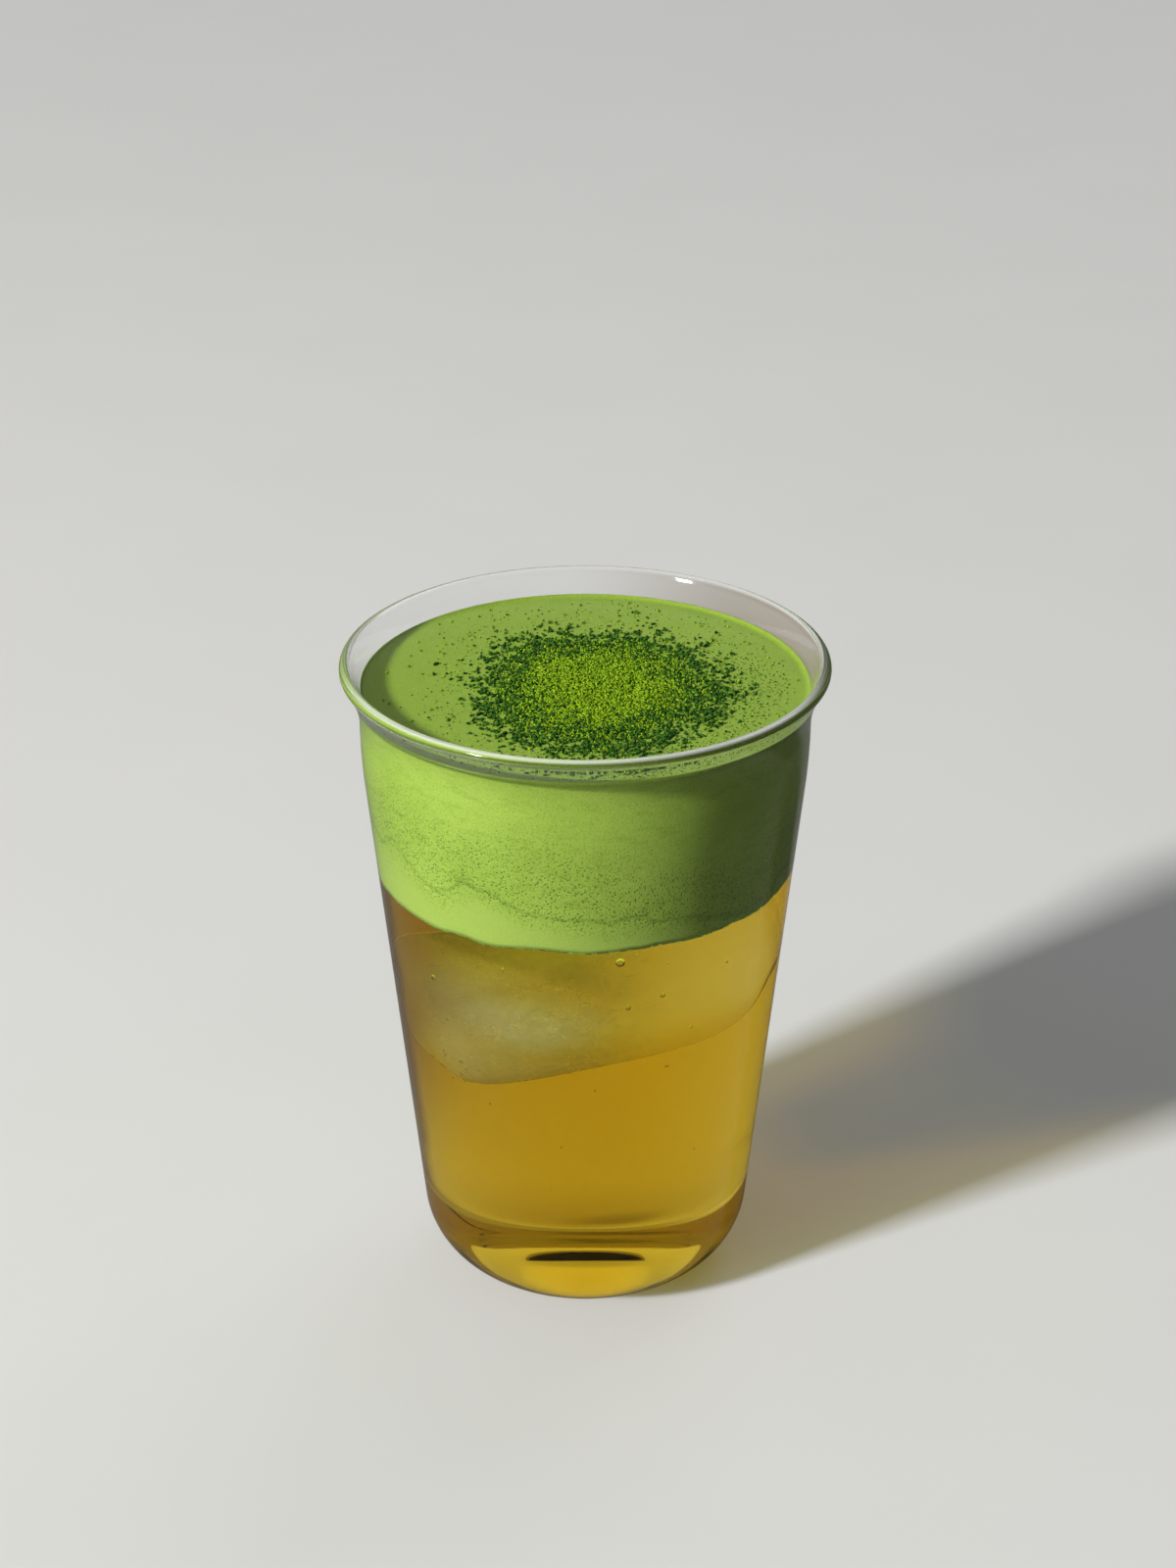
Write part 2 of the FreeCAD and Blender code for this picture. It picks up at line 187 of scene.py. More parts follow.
def smooth(share):
    """Eases a share from 0 to 1 at both ends."""
    return share * share * (3 - 2 * share)


def fade(value, start, end):
    """0 before start, 1 after end, smooth between."""
    return smooth(np.clip((value - start) / (end - start), 0, 1))


def uneven(x, y, cell, seed):
    """Smooth random values from -1 to 1, about one lump to a cell."""
    lattice = np.random.default_rng(seed).uniform(-1, 1, (LATTICE, LATTICE))
    u = np.asarray(x) / cell + LATTICE_SHIFT[0]
    v = np.asarray(y) / cell + LATTICE_SHIFT[1]
    i, j = np.floor(u).astype(int), np.floor(v).astype(int)
    across, up = smooth(u - i), smooth(v - j)

    def at(a, b):
        return lattice[a % LATTICE, b % LATTICE]

    low = at(i, j) * (1 - across) + at(i + 1, j) * across
    high = at(i, j + 1) * (1 - across) + at(i + 1, j + 1) * across
    return low * (1 - up) + high * up


def tea_level(x, y):
    """Height of the tea at a place: nearly level, with lumps where the foam hangs lower."""
    lumps = np.sin(LEVEL_WAVE * x + 0.6) * np.cos(0.8 * LEVEL_WAVE * y - 0.4)
    small = 0.45 * np.sin(1.9 * LEVEL_WAVE * (0.6 * x - 0.8 * y) + 1.7)
    fine = 0.5 * uneven(x, y, cell=2.4 * MM, seed=15)
    return TEA_Z + LEVEL_SLOPE * x + LEVEL_RIPPLE * (lumps + small + fine)


# ---------------------------------------------------------------- mesh making

turns = np.linspace(0, FULL_TURN, AROUND, endpoint=False)


def ring(radius, height):
    """A closed ring of points; radius and height may each change round the ring."""
    radius, height = np.broadcast_to(radius, AROUND), np.broadcast_to(height, AROUND)
    return np.column_stack([radius * np.cos(turns), radius * np.sin(turns), height])


def pole(height):
    return np.array([[0.0, 0.0, float(height)]])


def faces_between(first, count_a, count_b):
    """Faces that join one ring to the next, either of which may be a pole."""
    steps = np.arange(max(count_a, count_b))
    after = (steps + 1) % len(steps)
    second = first + count_a
    if count_a == 1:
        return [(first, second + a, second + b) for a, b in zip(after, steps)]
    if count_b == 1:
        return [(first + a, first + b, second) for a, b in zip(steps, after)]
    return [(first + a, first + b, second + b, second + a) for a, b in zip(steps, after)]


def piece_from(name, points, faces, finish):
    """A smooth-shaded piece in the frame, riding on the drink's one body."""
    mesh = bpy.data.meshes.new(name)
    mesh.from_pydata([tuple(p) for p in points], [], faces)
    mesh.polygons.foreach_set("use_smooth", [True] * len(mesh.polygons))
    mesh.materials.append(finish)
    mesh.update()
    piece = bpy.data.objects.new(name, mesh)
    bpy.context.scene.collection.objects.link(piece)
    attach(piece, "root")
    return piece


def skin_faces(rings, first=0):
    """Faces through rings of points, of which the first point has the given number."""
    faces = []
    for a, b in zip(rings, rings[1:]):
        faces += faces_between(first, len(a), len(b))
        first += len(a)
    return faces


def skin(name, rings, finish):
    """A closed piece through rings of points, from one pole to the other."""
    return piece_from(name, np.vstack(rings), skin_faces(rings), finish)


# ---------------------------------------------------------------- shader arithmetic

WHITE = (1, 1, 1, 1)


class Wire:
    """A socket that takes part in arithmetic: each operator adds its Math node."""

    def __init__(self, finish, socket):
        self.finish = finish
        self.socket = socket

    def math(self, operation, *values):
        """The Math node of an operation on these values."""
        return self.finish.node("ShaderNodeMath", {"operation": operation},
                                dict(enumerate(values)))

    def __add__(self, other):
        return self.math("ADD", self, other)

    def __sub__(self, other):
        return self.math("SUBTRACT", self, other)

    def __rsub__(self, other):
        return self.math("SUBTRACT", other, self)

    def __mul__(self, other):
        return self.math("MULTIPLY", self, other)

    def __pow__(self, other):
        return self.math("POWER", self, other)

    def __abs__(self):
        return self.math("ABSOLUTE", self)

    __radd__, __rmul__ = __add__, __mul__

    def at_least(self, other):
        return self.math("MAXIMUM", self, other)

    def at_most(self, other):
        return self.math("MINIMUM", self, other)

    def between(self, start, end):
        """0 before start, 1 after end, smooth between."""
        return self.finish.node("ShaderNodeMapRange", {"interpolation_type": "SMOOTHSTEP"},
                                {"Value": self, "From Min": start, "From Max": end})

    def shaded(self, *stops):
        """A colour ramp over this value: (position, colour) pairs."""
        return self.finish.node("ShaderNodeValToRGB", {"stops": stops}, {"Fac": self})


class Finish:
    """One material, or the air: every node comes from node(), values join by Wire arithmetic."""

    def __init__(self, name, kind="materials", place="Object"):
        self.material = getattr(bpy.data, kind).new(name)
        self.material.use_nodes = True
        self.tree = self.material.node_tree
        self.tree.nodes.clear()
        self.place = self.node("ShaderNodeTexCoord", {}, {}, place)

    def node(self, kind, settings, sockets, out=0):
        """A node of a type, with its settings made first, and then its values or links."""
        node = self.tree.nodes.new(kind)
        for name, value in settings.items():
            if name == "stops":
                self.set_stops(node.color_ramp.elements, value)
            else:
                setattr(node, name, value)
        for name, value in sockets.items():
            if isinstance(value, Wire):
                self.tree.links.new(value.socket, node.inputs[name])
            else:
                node.inputs[name].default_value = value
        return Wire(self, node.outputs[out]) if node.outputs else node

    @staticmethod
    def set_stops(elements, stops):
        while len(elements) < len(stops):
            elements.new(0.5)
        for element, (position, colour) in zip(elements, stops):
            element.position = position
            element.color = colour

    def vector(self, operation, first, second=None, out="Vector"):
        """A place worked out from one or two others."""
        values = {0: first} if second is None else {0: first, 1: second}
        return self.node("ShaderNodeVectorMath", {"operation": operation}, values, out)

    def noise(self, lump, detail=2.0, roughness=0.5, stretch=None):
        """Noise from 0 to 1 with lumps of about the given size."""
        place = self.vector("MULTIPLY", self.place, stretch) if stretch else self.place
        return self.node("ShaderNodeTexNoise", {},
                         {"Vector": place, "Scale": 1 / lump, "Detail": detail,
                          "Roughness": roughness}, "Fac")

    def cells(self, size, feature="F1"):
        """Distance to the nearest of many scattered points, about size apart, or to an edge."""
        return self.node("ShaderNodeTexVoronoi", {"feature": feature},
                         {"Vector": self.place, "Scale": 1 / size}, "Distance")

    def axes(self, names):
        """The place's coordinates along the named axes, such as XZ, each as a value."""
        split = self.node("ShaderNodeSeparateXYZ", {}, {"Vector": self.place})
        return [Wire(self, split.socket.node.outputs[axis]) for axis in names]

    def mix(self, share, first, second):
        """A colour between two colours, through the Mix node's sockets for colours."""
        colour_a, colour_b, colour_out = 6, 7, 2
        return self.node("ShaderNodeMix", {"data_type": "RGBA"},
                         {"Factor": share, colour_a: first, colour_b: second}, colour_out)

    def bump(self, height, depth):
        """A surface that rises by depth where height is 1."""
        return self.node("ShaderNodeBump", {},
                         {"Height": height, "Distance": depth, "Strength": 1.0})

    def principled(self, **sockets):
        """The main shader, its sockets given by name with _ for a blank."""
        named = {name.replace("_", " "): value for name, value in sockets.items()}
        return self.node("ShaderNodeBsdfPrincipled", {}, named)

    def blend(self, share, first, second):
        """A shader between two shaders."""
        return self.node("ShaderNodeMixShader", {}, {0: share, 1: first, 2: second})

    def for_rays(self, kinds, others, these):
        """One shader for some kinds of ray and another for the rest."""
        for kind in kinds:
            others = self.blend(self.node("ShaderNodeLightPath", {}, {}, f"Is {kind} Ray"),
                                others, these)
        return others

    def open_to_lamps(self, shader, tint=WHITE):
        """The same shader, letting the light that falls on rough things straight through."""
        clear = self.node("ShaderNodeBsdfTransparent", {}, {"Color": tint})
        return self.for_rays(("Diffuse", "Shadow"), shader, clear)

    def done(self, surface, output="ShaderNodeOutputMaterial", **others):
        """Joins the shader to the output, and gives the finish that pieces take."""
        self.node(output, {}, {"Surface": surface, **others})
        return self.material


def colour(red, green, blue):
    """A colour as it looks on a screen, 0 to 255, in the linear values that shaders use."""

    def linear(level):
        level /= 255
        return level / 12.92 if level <= 0.04045 else ((level + 0.055) / 1.055) ** 2.4

    return (linear(red), linear(green), linear(blue), 1.0)


# ---------------------------------------------------------------- finishes

BACKDROP = colour(208, 208, 206)    # where the floor and the air meet, far behind
TEA_PASSES = (0.58, 0.58, 0.52, 1)  # what is left of a lamp's light behind the tea
ICE_PASSES = (0.9, 0.9, 0.88, 1)    # and behind the ice


def grey(level):
    """A plain grey: the share of the light that something lets through or throws back."""
    return (level, level, level, 1)


def clear_glass(name="clear_glass", index=GLASS_INDEX, veil=0.985, roughness=0.0, gleam=0.4,
                painted_highlight=0.0):
    """Thin blown glass: almost perfectly smooth, with faint waves. A lip's top may carry a
    painted highlight: a white band, strongest at the front.
    """
    glass = Finish(name)
    waves = glass.noise(9 * MM, detail=1.0)
    clear = glass.principled(Base_Color=WHITE, Roughness=roughness, IOR=index,
                             Transmission_Weight=1.0, Specular_Tint=grey(gleam),
                             Normal=glass.bump(waves, 0.02 * MM))
    if painted_highlight:
        y, z = glass.axes("YZ")
        front = 0.2 + (0 - y).between(4 * MM, 26 * MM) * 0.8
        on_top = z.between(LIP_Z - 0.5 * LIP_BEAD, LIP_Z)
        # painted highlight: a matt white band on the lip's top, stronger at the front, in place
        # of the light the lip catches
        white = glass.principled(Base_Color=colour(246, 248, 246), Roughness=0.3)
        clear = glass.blend(on_top * front * painted_highlight, clear, white)
    return glass.done(glass.open_to_lamps(clear, grey(veil)))


def golden_tea():
    """Clear tea: what passes through it turns golden with depth. The wet glass bends light."""
    tea = Finish("golden_tea")
    shader = tea.principled(Base_Color=WHITE, Roughness=0.0, IOR=1.0, Transmission_Weight=1.0)
    depth = tea.node("ShaderNodeVolumeAbsorption", {},
                     {"Color": (0.908, 0.80, 0.0, 1), "Density": 72.0})
    return tea.done(tea.open_to_lamps(shader, TEA_PASSES), Volume=depth)


def air_bubble():
    """Air in the tea."""
    air = Finish("air_bubble")
    shader = air.principled(Base_Color=WHITE, Roughness=0.0, IOR=1 / TEA_INDEX,
                            Transmission_Weight=1.0)
    return air.done(air.open_to_lamps(shader))


def green_foam():
    """Matcha foam: fine, moist and opaque, with pores where it meets the glass. Its top is
    painted a darker green as shade, and its pores, pinholes and crease are painted darker as
    shade.
    """
    foam = Finish("green_foam")
    pale, mean, deep = colour(158, 188, 76), colour(145, 176, 64), colour(128, 158, 50)
    # painted shade: the top takes a darker green, and the pores, pinholes and crease darker
    # greens still
    top_shade_green, settled_green = colour(133, 164, 50), colour(156, 184, 80)
    crease_shade_green, fleck_green = colour(96, 128, 36), colour(172, 198, 96)
    pinhole_shade_green, pore_shade_green = colour(96, 128, 34), colour(72, 100, 24)
    x, z = foam.axes("XZ")
    clouds = foam.noise(16 * MM, detail=3.0)
    streaks = foam.noise(5 * MM, detail=3.0, roughness=0.55, stretch=(1, 1, 3.5))
    froth = foam.noise(0.7 * MM, roughness=0.6)
    flecks = foam.noise(0.3 * MM, detail=1.0).between(0.52, 0.78)

    # It froths most a little above the tea, at a level that wanders round the glass.
    level = z + (clouds - 0.5) * (16 * MM) + x * 0.12
    settled = 1 - level.between(TEA_Z + 1 * MM, TEA_Z + 7 * MM)
    stiff = level.between(TEA_Z + 12 * MM, TEA_Z + 26 * MM)
    frothy = (1 - settled) * (1 - stiff * 0.75)
    pores = (1 - foam.cells(0.55 * MM).between(0.14, 0.46)) * froth.between(0.34, 0.5) * frothy
    pinholes = (1 - foam.cells(0.36 * MM).between(0.12, 0.48)) * (0.35 + 0.65 * frothy)
    crease = 1 - abs(level - (TEA_Z + 7 * MM)).between(0.1 * MM, 0.9 * MM)
    near_top = z.between(FOAM_Z - 1.5 * MM, FOAM_Z - 0.2 * MM)

    tone = foam.mix(clouds.between(0.25, 0.75), mean, pale)
    tone = foam.mix(streaks.between(0.45, 0.75) * 0.5, tone, deep)
    # painted shade on the top and just under its edge
    tone = foam.mix(near_top * 0.8, tone, top_shade_green)
    tone = foam.mix(settled, tone, settled_green)
    # painted shade in the crease, pinholes and pores, on top of their sunk relief
    tone = foam.mix(crease * froth.between(0.3, 0.6) * 0.5, tone, crease_shade_green)
    tone = foam.mix(flecks * 0.5, tone, fleck_green)
    tone = foam.mix(pinholes * 0.5, tone, pinhole_shade_green)
    tone = foam.mix(pores * 0.8, tone, pore_shade_green)
    relief = froth * 0.4 - pores - pinholes * 0.5 - crease
    return foam.done(foam.principled(
        Base_Color=tone, Roughness=0.38, Subsurface_Weight=0.15,
        Subsurface_Radius=(1.0, 1.2, 0.4), Subsurface_Scale=0.8 * MM,
        Specular_IOR_Level=0.22, Normal=foam.bump(relief, 0.06 * MM)))


def foam_underside():
    """The foam's underside in the tea, with a painted glow that stands in for the light soaking
    down through the foam.
    """
    foam = Finish("foam_underside")
    lumps = foam.noise(3 * MM, detail=3.0, roughness=0.6)
    tone = foam.mix(lumps, colour(128, 160, 56), colour(160, 188, 82))
    # painted glow: the underside emits its own tone
    return foam.done(foam.principled(
        Base_Color=tone, Roughness=0.5, Emission_Color=tone, Emission_Strength=1.8,
        Normal=foam.bump(lumps, 0.3 * MM)))


DRY_TONES = (colour(60, 88, 10), colour(104, 138, 14), colour(132, 166, 22),
             colour(150, 182, 40))
MOIST_TONES = (colour(14, 40, 12), colour(28, 68, 16), colour(50, 94, 20),
               colour(92, 132, 36))


def powder(name, tones):
    """Matcha powder: dead matt, each grain its own tone."""
    dust = Finish(name)
    own = dust.node("ShaderNodeNewGeometry", {}, {}, "Random Per Island")
    blotch = dust.noise(0.25 * MM)
    share = (own * 0.8 + blotch * 0.4 - 0.1).at_least(0.0).at_most(1.0)
    stops = [(i / (len(tones) - 1), tone) for i, tone in enumerate(tones)]
    return dust.done(dust.principled(
        Base_Color=share.shaded(*stops), Roughness=0.95, Specular_IOR_Level=0.15,
        Normal=dust.bump(blotch, 0.05 * MM)))


def powder_bed():
    """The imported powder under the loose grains."""
    dust = Finish("powder_bed")
    fine = dust.noise(0.35 * MM, detail=3.0, roughness=0.7)
    tone = fine.shaded((0.3, colour(34, 64, 8)), (0.5, colour(72, 108, 12)),
                       (0.7, colour(104, 142, 18)))
    return dust.done(dust.principled(
        Base_Color=tone, Roughness=0.95, Specular_IOR_Level=0.1,
        Normal=dust.bump(fine, 0.2 * MM)))


def clear_ice():
    """Ice in tea, a little stained by it: only its edges and its frosted left half show."""
    ice = Finish("clear_ice")
    x, = ice.axes("X")
    frost = ice.noise(7 * MM, detail=4.0, roughness=0.55)
    feathers = ice.noise(2.0 * MM, detail=4.0, roughness=0.65, stretch=(0.5, 1, 1.3))
    frosted = 0.24 + frost.between(0.3, 0.7) * 0.16 + feathers.between(0.56, 0.74) * 0.18
    hazy = x.between(-27 * MM, -17 * MM) * (1 - x.between(-4 * MM, 15 * MM))
    clear = ice.principled(Base_Color=(0.88, 0.84, 0.66, 1), Roughness=0.06, IOR=0.987,
                           Transmission_Weight=1.0, Normal=ice.bump(frost, 0.5 * MM))
    white = ice.principled(Base_Color=colour(224, 226, 220), Roughness=0.6)
    shader = ice.blend(frosted * (0.06 + hazy * 0.94), clear, white)
    return ice.done(ice.open_to_lamps(shader, ICE_PASSES))


def ice_cloud(centre, reach):
    """The milky heart of the ice: wisps that thin out to nothing, with hair cracks, and a faint
    painted glow for the light it scatters.
    """
    cloud = Finish("ice_cloud")
    scaled = cloud.vector("DIVIDE", cloud.vector("SUBTRACT", cloud.place, centre), reach)
    far = cloud.vector("LENGTH", scaled, out="Value")
    wisps = cloud.noise(5 * MM, detail=4.0, roughness=0.6)
    cracks = 1 - cloud.cells(11 * MM, "DISTANCE_TO_EDGE").between(0.004, 0.02)
    thick = (1 - far.between(0.15, 1.0)) * (0.4 + wisps.between(0.3, 0.7) * 0.5)
    milk = cloud.mix(cracks * wisps.between(0.4, 0.6) * 0.8, colour(222, 224, 214),
                     colour(104, 96, 60))
    # painted glow: the milk emits faintly, in place of the light scattered in the ice
    white = cloud.principled(Base_Color=milk, Roughness=0.8, Emission_Color=milk,
                             Emission_Strength=0.3)
    clear = cloud.node("ShaderNodeBsdfTransparent", {}, {})
    return cloud.done(cloud.blend(thick * 0.36, clear, white))


def pale_floor():
    """Pale to look at. Greyer in the light it throws back, and with painted shade where the tea
    shows it: right of the glass and round its foot.
    """
    floor = Finish("pale_floor")
    x, y = floor.axes("XY")
    away = (x * x + y * y) ** 0.5

    def matt(tone):
        return floor.principled(Base_Color=tone, Roughness=0.7, Specular_IOR_Level=0.3)

    pale = matt(floor.mix(floor.noise(60 * MM), colour(214, 214, 212), colour(218, 218, 216)))
    thrown_back = matt(colour(118, 118, 116))
    # painted shadow: the floor seen through the tea is darker right of the glass, where its
    # shadow falls, and round the foot
    beside = x.between(-10 * MM, 60 * MM) * (1 - away.between(0.25, 0.6))
    painted_shade = beside.at_least(1 - away.between(24 * MM, 60 * MM))
    through_tea = floor.blend(painted_shade, pale, matt(colour(160, 148, 128)))
    glow = floor.node("ShaderNodeEmission", {}, {"Color": BACKDROP, "Strength": 1.0})
    seen = floor.blend(away.between(0.4, 2.2), pale, glow)
    unseen = floor.for_rays(("Transmission",), thrown_back, through_tea)
    return floor.done(floor.for_rays(("Camera",), unseen, seen))


# ---------------------------------------------------------------- the glass

DRY, WET, LIP, BEAD = range(4)      # the glass's finishes, in the order its mesh has them
WET_Z = TEA_Z + 2 * MM              # how far up the inside is wet
BEAD_Z = LIP_Z - 1.2 * LIP_BEAD     # underside of the lip's bead


def make_glass(*finishes):
    """The tumbler. Its inside bends light less where the tea wets it, and its lip shades more."""
    outline = section.glass()
    rings = [pole(outline[0][1])]
    rings += [ring(r, z) for r, z in outline[1:-1]]
    rings.append(pole(outline[-1][1]))
    glass = skin("tumbler_glass", rings, finishes[DRY])
    for finish in finishes[WET:]:
        glass.data.materials.append(finish)
    for face in glass.data.polygons:
        centre = face.center
        mid_wall = section.inner_radius(centre.z, seat=0.5 * WALL)
        inside = centre.z > 0.5 * FLOOR_Z and math.hypot(centre.x, centre.y) < mid_wall
        if inside and centre.z < WET_Z:
            face.material_index = WET
        elif centre.z > BEAD_Z:
            face.material_index = BEAD
        elif centre.z > CREEP_Z:
            face.material_index = LIP
    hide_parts("tumbler")


# ---------------------------------------------------------------- the drink

TEA_SIDE_STEPS = 40
FOAM_SIDE_STEPS = 36
FOAM_TOP_STEPS = 110
CREEP_STEPS = 6
UNDERSIDE = 1                       # place of the underside's finish in the foam's mesh


def floor_rings(drop):
    """Rings over the glass's floor and round its inner heel, let into the glass by drop."""
    line = section.inner()
    heel = line[line[:, 1] < FLOOR_Z + HEEL_INNER_R]
    steps = np.gradient(heel, axis=0)
    away = np.column_stack([steps[:, 1], -steps[:, 0]])
    away /= np.hypot(*away.T)[:, None]
    heel = heel + away * drop
    edge, depth = heel[0][0], FLOOR_Z - drop
    flat = straight((edge / 8, depth), (edge, depth), 7)[:-1]
    return [pole(depth)] + [ring(r, z) for r, z in along(flat, heel)]


def side_rings(bottom, top, steps):
    """Rings up the inside of the glass between two heights that may change round it."""
    shares = np.linspace(0, 1, steps + 1)
    heights = [bottom * (1 - share) + top * share for share in shares]
    return [ring(section.inner_radius(z), z) for z in heights]


def level_rings(edge, lift, steps):
    """Rings across the drink that follow the tea's level, from the glass to the middle."""
    made = []
    for share in np.linspace(1, 0, steps + 1)[1:-1]:
        x, y = edge[:, 0] * share, edge[:, 1] * share
        made.append(np.column_stack([x, y, tea_level(x, y) + lift]))
    return made


def wall_level(lift):
    """Height of the tea's level round the glass."""
    radius = section.inner_radius(TEA_Z)
    return tea_level(radius * np.cos(turns), radius * np.sin(turns)) + lift


def make_tea(finish):
    """The tea, let into the glass and the foam by a hair, with a room for the ice."""
    bottom = floor_rings(SEAT)
    start = np.full(AROUND, bottom[-1][0, 2])
    side = side_rings(start, wall_level(LAP), TEA_SIDE_STEPS)[1:]
    top = level_rings(side[-1], LAP, LEVEL_STEPS)
    rings = bottom + side + top + [pole(tea_level(0.0, 0.0) + LAP)]
    room, room_faces = ice_form()
    first = sum(map(len, rings))
    faces = skin_faces(rings)
    faces += [tuple(first + corner for corner in face[::-1]) for face in room_faces]
    tea = piece_from("golden_tea", np.vstack(rings + [room]), faces, finish)
    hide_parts("tea")


def foam_relief(x, y):
    """The foam's top is flat but not smooth: slow swells and fine froth."""
    swell = 0.07 * MM * uneven(x, y, cell=11 * MM, seed=5)
    froth = 0.025 * MM * uneven(x, y, cell=1.1 * MM, seed=6)
    return swell + froth


def make_foam(finish, underside):
    """The foam, from the tea's level to its flat top, hollow-curved where it meets the glass."""
    level = wall_level(0.0)
    side = side_rings(level, np.full(AROUND, CREEP_Z), FOAM_SIDE_STEPS)
    under = [pole(tea_level(0.0, 0.0))] + level_rings(side[0], 0.0, LEVEL_STEPS)[::-1]
    start = math.asin((CREEP_R - CREEP_RISE) / CREEP_R)
    creep = arc((FLAT_R, FOAM_Z + CREEP_R), CREEP_R, -start, -math.pi / 2, CREEP_STEPS)
    top = [ring(r, z) for r, z in creep]
    for share in np.linspace(1, 0, FOAM_TOP_STEPS + 1)[1:-1]:
        x, y = FLAT_R * share * np.cos(turns), FLAT_R * share * np.sin(turns)
        rise = foam_relief(x, y) * fade(1 - share, 0.0, 0.06)
        top.append(np.column_stack([x, y, FOAM_Z + rise]))
    rings = under + side + top + [pole(FOAM_Z)]
    foam = skin("matcha_foam_body", rings, finish)
    foam.data.materials.append(underside)
    for face in foam.data.polygons[:len(under) * AROUND]:
        face.material_index = UNDERSIDE
    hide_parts("matcha_foam")


def ball(centre, radius):
    """Points and faces of one small round thing."""
    rows, sides = 10, 18
    tilts = np.linspace(0, math.pi, rows + 1)[1:-1]
    spins = np.linspace(0, FULL_TURN, sides, endpoint=False)
    skin_points = [(math.sin(tilt) * math.cos(spin), math.sin(tilt) * math.sin(spin),
                    math.cos(tilt)) for tilt in tilts for spin in spins]
    points = np.array([(0, 0, 1)] + skin_points + [(0, 0, -1)])
    faces = []
    for side in range(sides):
        after = (side + 1) % sides
        faces.append((0, 1 + side, 1 + after))
        for row in range(rows - 2):
            a, b = 1 + row * sides, 1 + (row + 1) * sides
            faces.append((a + side, b + side, b + after, a + after))
        last = 1 + (rows - 2) * sides
        faces.append((last + after, last + side, len(points) - 1))
    return points * radius + centre, faces


def many(name, balls, finish):
    """Several balls as one piece."""
    points, faces, first = [], [], 0
    for some_points, some_faces in balls:
        points.append(some_points)
        faces += [tuple(first + corner for corner in face) for face in some_faces]
        first += len(some_points)
    return piece_from(name, np.vstack(points), faces, finish)


# Bubbles large enough to be seen one by one: X, depth behind the glass, height, radius, in mm.
LONE_BUBBLES = [(6.0, 3.0, 81.6, 0.85), (7.2, 6.0, 70.6, 0.55), (13.0, 6.0, 72.2, 0.5),
                (18.0, 5.0, 63.8, 0.3), (13.6, 8.0, 55.2, 0.4), (-14.0, 5.0, 78.0, 0.4),
                (24.0, 4.0, 76.0, 0.35), (-26.5, 1.5, 72.0, 0.55), (-27.0, 1.2, 66.5, 0.4)]
STRAY_BUBBLES = 22                  # fine ones all over the glass
LEFT_BUBBLES = 16                   # fine ones at the left of the ice
ALL_IN_FRONT = 8                    # of the bubbles after these, every third is at the back


def make_bubbles(finish):
    """Bubbles of air close to the glass: most inside its front, some inside its back."""
    spots = list(LONE_BUBBLES)
    rng = np.random.default_rng(seed=81)
    for _ in range(STRAY_BUBBLES):
        turn = rng.uniform(0, FULL_TURN)
        spots.append((math.cos(turn) * 20, rng.uniform(1.2, 2.5), rng.uniform(30, 84),
                      rng.uniform(0.12, 0.26)))
    for _ in range(LEFT_BUBBLES):
        spots.append((rng.uniform(-26, -20), rng.uniform(1.0, 2.0), rng.uniform(50, 70),
                      rng.uniform(0.15, 0.34)))
    balls = []
    for number, spot in enumerate(spots):
        x, deep, z, radius = (length * MM for length in spot)
        wall = float(section.inner_radius(z, seat=0.0)) - deep - radius
        y = math.sqrt(wall ** 2 - x ** 2)
        behind = number >= ALL_IN_FRONT and number % 3 == 2
        balls.append(ball((x, y if behind else -y, z), radius))
    bubbles = many("air_bubbles", balls, finish)


# ---------------------------------------------------------------- the powder

HEAP = np.array([2.4, -3.0]) * MM           # middle of the dusting
HEAP_HALF = np.array([16.5, 23.0]) * MM     # packed middle, half width and half depth
DUST_HALF = np.array([24.5, 30.0]) * MM     # loose ring, half width and half depth
HEAP_RISE = 0.32 * MM
HEAP_SINK = 0.12 * MM               # how far the heap's underside lies in the foam
HEAP_STEPS = 75
DUST_EDGE = 0.8 * MM                # bare foam that is left along the glass


def heap_reach(turn):
    """Unevenness of the heap's outline."""
    ragged = 0.5 * np.sin(3 * turn + 0.9) + 0.3 * np.sin(5 * turn + 2.1)
    return 1 + 0.07 * (ragged + 0.35 * np.sin(11 * turn + 0.4))


def heap_height(x, y):
    """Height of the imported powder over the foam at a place."""
    u, v = (x - HEAP[0]) / HEAP_HALF[0], (y - HEAP[1]) / HEAP_HALF[1]
    reach = np.hypot(u, v) / heap_reach(np.arctan2(v, u))
    lumps = (0.06 * MM * uneven(x, y, cell=0.9 * MM, seed=8)
             + 0.05 * MM * uneven(x, y, cell=2.6 * MM, seed=9))
    return (HEAP_RISE + lumps) * (1 - fade(reach, 0.55, 1.05))


def make_heap(finish):
    """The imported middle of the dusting, sunk a hair into the foam."""
    outline = heap_reach(turns)
    edge_x = HEAP_HALF[0] * outline * np.cos(turns)
    edge_y = HEAP_HALF[1] * outline * np.sin(turns)

    def heap_ring(share, height):
        x, y = HEAP[0] + edge_x * share, HEAP[1] + edge_y * share
        return np.column_stack([x, y, np.broadcast_to(height(x, y), AROUND)])

    def flat(x, y):
        return FOAM_Z - HEAP_SINK

    def heaped(x, y):
        return FOAM_Z - HEAP_SINK / 2 + heap_height(x, y)

    shares = np.linspace(1, 0, HEAP_STEPS + 1)[1:-1]
    rings = [heap_ring(0, flat)[:1], heap_ring(1, flat)]
    rings += [heap_ring(share, heaped) for share in shares] + [heap_ring(0, heaped)[:1]]
    heap = skin("powder_heap", rings, finish)
    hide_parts("matcha_powder")


